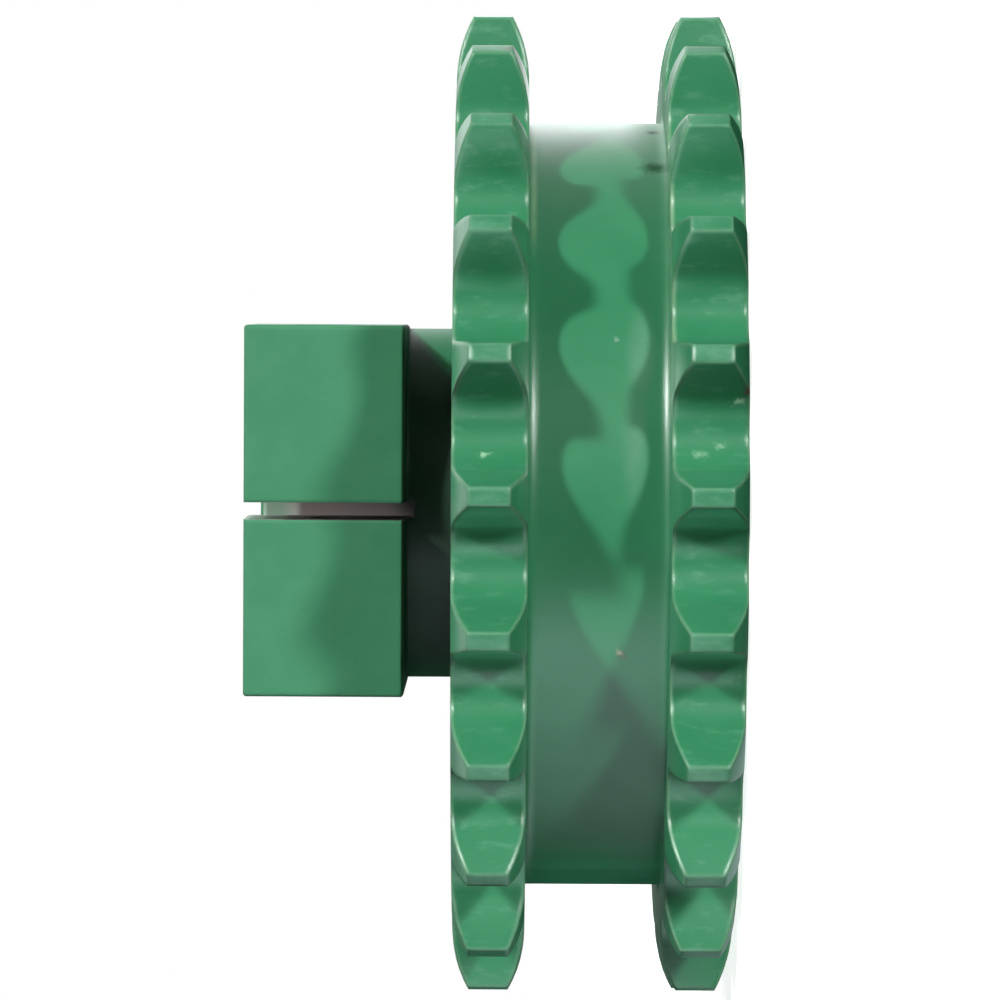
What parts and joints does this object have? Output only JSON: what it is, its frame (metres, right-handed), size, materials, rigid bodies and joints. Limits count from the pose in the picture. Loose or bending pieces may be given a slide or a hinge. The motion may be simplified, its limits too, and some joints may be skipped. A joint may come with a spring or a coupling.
{
  "type": "chain sprocket",
  "caption": "Double-row roller-chain sprocket with a split clamp hub that grips a round shaft.",
  "frame": {"origin": "on the bore's axis, in the plane of the lower rim's outer face, which the part stands on", "axes": "+Z along the bore from the lower rim towards the clamp hub; -Y from the axis through the slit towards the ears' flat face; +X towards the ear with the screw head's recess"},
  "size_m": [0.1484, 0.1485, 0.0725],
  "materials": {
    "green_paint": "glossy green paint over machined steel, with the bore bare"
  },
  "bodies": {
    "root": {"sprocket": "green_paint"}
  },
  "joints": []
}
